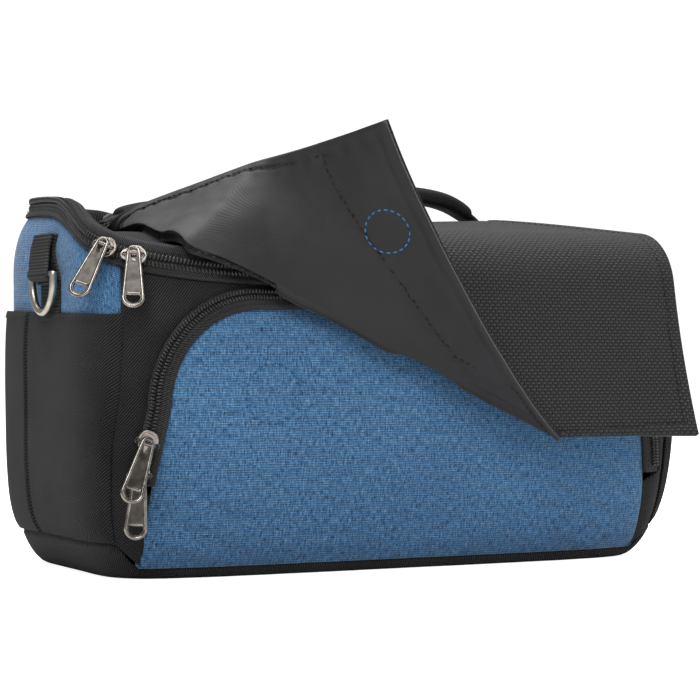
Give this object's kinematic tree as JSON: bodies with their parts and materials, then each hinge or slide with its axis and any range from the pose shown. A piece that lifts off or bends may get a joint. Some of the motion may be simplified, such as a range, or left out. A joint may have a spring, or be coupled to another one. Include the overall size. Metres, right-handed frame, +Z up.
{
  "type": "camera shoulder bag",
  "caption": "Padded camera shoulder bag with a zipped lid, a zipped front pocket, a magnetic storm flap lifted at one corner, and strap rings.",
  "frame": {"origin": "on the ground under the middle of the bag's body", "axes": "+Z up, front towards -Y, bag's width along X"},
  "size_m": [0.327, 0.1962, 0.204],
  "materials": {
    "black_twill": "matt black twill polyester",
    "blue_heather": "blue heather polyester, flecked with dark navy",
    "ballistic_nylon": "charcoal ballistic nylon, coarse basket weave",
    "flap_lining": "smooth dark lining cloth with a slight sheen",
    "lining": "soft grey nylon lining",
    "foam": "closed cell padding foam",
    "webbing": "ribbed black polypropylene webbing",
    "zip_coil": "black nylon coil zipper on woven tape",
    "zip_metal": "warm gunmetal plated die casting",
    "ring_metal": "satin nickel wire",
    "magnet": "thin plated magnet sewn between layers"
  },
  "bodies": {
    "shell": {"base_panel": "black_twill", "back_panel": "black_twill", "side_panel_left": "blue_heather", "side_panel_right": "blue_heather", "front_panel": "black_twill", "pocket_panel": "blue_heather", "pocket_lining": "lining", "pocket_zip_outer": "zip_coil", "pocket_zip_inner": "zip_coil", "panel_magnets": "magnet", "foam_front": "foam", "foam_back": "foam", "foam_left": "foam", "foam_right": "foam", "base_pad": "foam", "lining": "lining", "side_pocket_left": "black_twill", "side_pocket_right": "black_twill", "lug_web_left": "webbing", "lug_web_right": "webbing", "lid_zip_lower": "zip_coil"},
    "lid": {"lid_panel": "black_twill", "lid_foam": "foam", "lid_lining": "lining", "lid_zip_upper": "zip_coil", "flap_seam": "webbing", "handle_anchor_left": "webbing", "handle_anchor_right": "webbing"},
    "handle": {"handle_webbing": "webbing", "handle_grip": "black_twill"},
    "flap": {"flap_outer": "ballistic_nylon", "flap_lining": "flap_lining", "flap_magnets": "magnet"},
    "slider_lid_side": {"slider_lid_side": "zip_metal"},
    "pull_lid_side": {"pull_lid_side": "zip_metal"},
    "slider_lid_front": {"slider_lid_front": "zip_metal"},
    "pull_lid_front": {"pull_lid_front": "zip_metal"},
    "slider_pocket_upper": {"slider_pocket_upper": "zip_metal"},
    "pull_pocket_upper": {"pull_pocket_upper": "zip_metal"},
    "slider_pocket_lower": {"slider_pocket_lower": "zip_metal"},
    "pull_pocket_lower": {"pull_pocket_lower": "zip_metal"},
    "d_ring_left": {"d_ring_left": "ring_metal"},
    "d_ring_right": {"d_ring_right": "ring_metal"},
    "divider_left": {"divider_left": "lining"},
    "divider_right": {"divider_right": "lining"}
  },
  "joints": [
    {"name": "lid_open", "type": "hinge", "parent": "shell", "child": "lid", "pos_m": [0, 0.0636, 0.169], "axis": [-0.9991, 0, 0.0422], "range_deg": [0, 100]},
    {"name": "handle_swing", "type": "hinge", "parent": "lid", "child": "handle", "pos_m": [0, 0.05, 0.1682], "axis": [-0.9996, 0, -0.0283], "range_deg": [-20, 20]},
    {"name": "flap_open", "type": "hinge", "parent": "lid", "child": "flap", "pos_m": [0, 0.0385, 0.1652], "axis": [-0.9992, 0, -0.0407], "range_deg": [0, 75]},
    {"name": "lid_side_zip", "type": "hinge", "parent": "shell", "child": "slider_lid_side", "pos_m": [-0.12589, -0.04534, 0.15428], "axis": [-0.0653, 0.4087, -0.9103], "range_deg": [0, 31.6]},
    {"name": "lid_front_zip", "type": "hinge", "parent": "shell", "child": "slider_lid_front", "pos_m": [-0.10718, -0.0172, 0.1703], "axis": [0.027, -0.4585, 0.8883], "range_deg": [0, 10.7]},
    {"name": "pocket_upper_zip", "type": "slide", "parent": "shell", "child": "slider_pocket_upper", "axis": [0.1929, -0.1476, 0.97], "range_m": [0, 0.025]},
    {"name": "pocket_lower_zip", "type": "slide", "parent": "shell", "child": "slider_pocket_lower", "axis": [-0.1646, 0.2101, -0.9637], "range_m": [0, 0.003]},
    {"name": "lid_side_pull", "type": "hinge", "parent": "slider_lid_side", "child": "pull_lid_side", "pos_m": [-0.14889, -0.06515, 0.14983], "axis": [-0.6772, 0.6711, 0.3017], "range_deg": [0, 110]},
    {"name": "lid_front_pull", "type": "hinge", "parent": "slider_lid_front", "child": "pull_lid_front", "pos_m": [-0.13701, -0.07286, 0.14592], "axis": [-0.945, 0.3255, 0.0323], "range_deg": [0, 110]},
    {"name": "pocket_upper_pull", "type": "hinge", "parent": "slider_pocket_upper", "child": "pull_pocket_upper", "pos_m": [-0.13536, -0.08514, 0.06167], "axis": [-0.903, 0.2815, 0.3246], "range_deg": [0, 110]},
    {"name": "pocket_lower_pull", "type": "hinge", "parent": "slider_pocket_lower", "child": "pull_pocket_lower", "pos_m": [-0.13816, -0.08246, 0.04743], "axis": [-0.9309, 0.3586, 0.0691], "range_deg": [0, 25]},
    {"name": "d_ring_left_swing", "type": "hinge", "parent": "shell", "child": "d_ring_left", "pos_m": [-0.1588, -0.015, 0.137], "axis": [0, 1, 0], "range_deg": [0, 100]},
    {"name": "d_ring_right_swing", "type": "hinge", "parent": "shell", "child": "d_ring_right", "pos_m": [0.1588, -0.015, 0.137], "axis": [0, -1, 0], "range_deg": [0, 100]},
    {"name": "divider_left_slide", "type": "slide", "parent": "shell", "child": "divider_left", "axis": [1, 0, 0], "range_m": [-0.03, 0.03]},
    {"name": "divider_right_slide", "type": "slide", "parent": "shell", "child": "divider_right", "axis": [1, 0, 0], "range_m": [-0.03, 0.03]}
  ]
}
